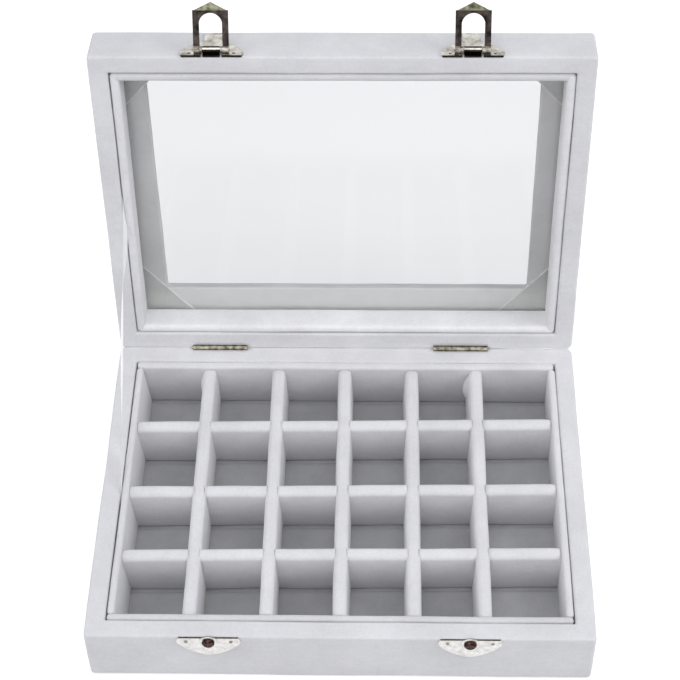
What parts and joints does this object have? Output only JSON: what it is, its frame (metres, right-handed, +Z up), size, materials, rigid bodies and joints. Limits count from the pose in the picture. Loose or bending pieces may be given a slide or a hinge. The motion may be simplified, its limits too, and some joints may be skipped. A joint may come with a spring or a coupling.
{
  "type": "jewelry display tray",
  "caption": "Velvet-covered display box with a compartment tray, a hinged glass-topped lid held by a ribbon stay, and front hasps that drop over studs",
  "frame": {"origin": "centre of the underside of the base", "axes": "+X right seen from the front, +Y towards the hinged back, +Z up; modelled with the lid open"},
  "size_m": [0.2, 0.1909, 0.1944],
  "materials": {
    "velvet_board": "fibreboard wrapped in light grey velvet",
    "velvet_pad": "light grey velvet",
    "underside_cloth": "grey cloth",
    "window_glass": "clear",
    "dark_bronze": "dark bronze",
    "nickel_plate": "bright nickel",
    "aged_brass": "aged, darkened brass",
    "dark_stud": "dark",
    "satin_ribbon": "white satin"
  },
  "bodies": {
    "base": {"base_front_wall": "velvet_board", "base_rear_wall": "velvet_board", "base_left_wall": "velvet_board", "base_right_wall": "velvet_board", "base_floor_panel": "velvet_board", "underside_cover": "underside_cloth", "tray_floor_pad": "velvet_pad", "tray_front_liner": "velvet_board", "tray_rear_liner": "velvet_board", "tray_left_liner": "velvet_board", "tray_right_liner": "velvet_board", "divider_long_1": "velvet_board", "divider_long_2": "velvet_board", "divider_long_3": "velvet_board", "divider_long_4": "velvet_board", "divider_long_5": "velvet_board", "divider_cross_1": "velvet_board", "divider_cross_2": "velvet_board", "divider_cross_3": "velvet_board", "catch_left_plate": "nickel_plate", "catch_left_stud": "dark_stud", "catch_right_plate": "nickel_plate", "catch_right_stud": "dark_stud", "catch_nails": "nickel_plate", "hinge_base_nails": "dark_bronze", "hinge_left_base_leaf": "dark_bronze", "hinge_left_pin": "dark_bronze", "hinge_right_base_leaf": "dark_bronze", "hinge_right_pin": "dark_bronze", "lid_stay_ribbon": "satin_ribbon"},
    "lid": {"lid_front_wall": "velvet_board", "lid_rear_wall": "velvet_board", "lid_left_wall": "velvet_board", "lid_right_wall": "velvet_board", "lid_window_frame": "velvet_board", "glass_pane": "window_glass", "window_corner_patches": "velvet_pad", "lid_front_liner": "velvet_board", "lid_rear_liner": "velvet_board", "lid_left_liner": "velvet_board", "lid_right_liner": "velvet_board", "hinge_left_lid_leaf": "dark_bronze", "hinge_right_lid_leaf": "dark_bronze", "hinge_lid_nails": "dark_bronze", "hasp_nails": "nickel_plate", "hasp_left_plate": "nickel_plate", "hasp_left_pin": "nickel_plate", "hasp_right_plate": "nickel_plate", "hasp_right_pin": "nickel_plate"},
    "hasp_left": {"hasp_left_loop": "aged_brass"},
    "hasp_right": {"hasp_right_loop": "aged_brass"}
  },
  "joints": [
    {"name": "lid_hinge", "type": "hinge", "parent": "base", "child": "lid", "pos_m": [0, 0.0752, 0.02815], "axis": [1, 0, 0], "range_deg": [0, 97.4], "deforming": ["lid_stay_ribbon"]},
    {"name": "hasp_left_hinge", "type": "hinge", "parent": "lid", "child": "hasp_left", "pos_m": [-0.051, 0.09734, 0.17885], "axis": [1, 0, 0], "range_deg": [-70, 110]},
    {"name": "hasp_right_hinge", "type": "hinge", "parent": "lid", "child": "hasp_right", "pos_m": [0.051, 0.09734, 0.17885], "axis": [1, 0, 0], "range_deg": [-70, 110]}
  ]
}
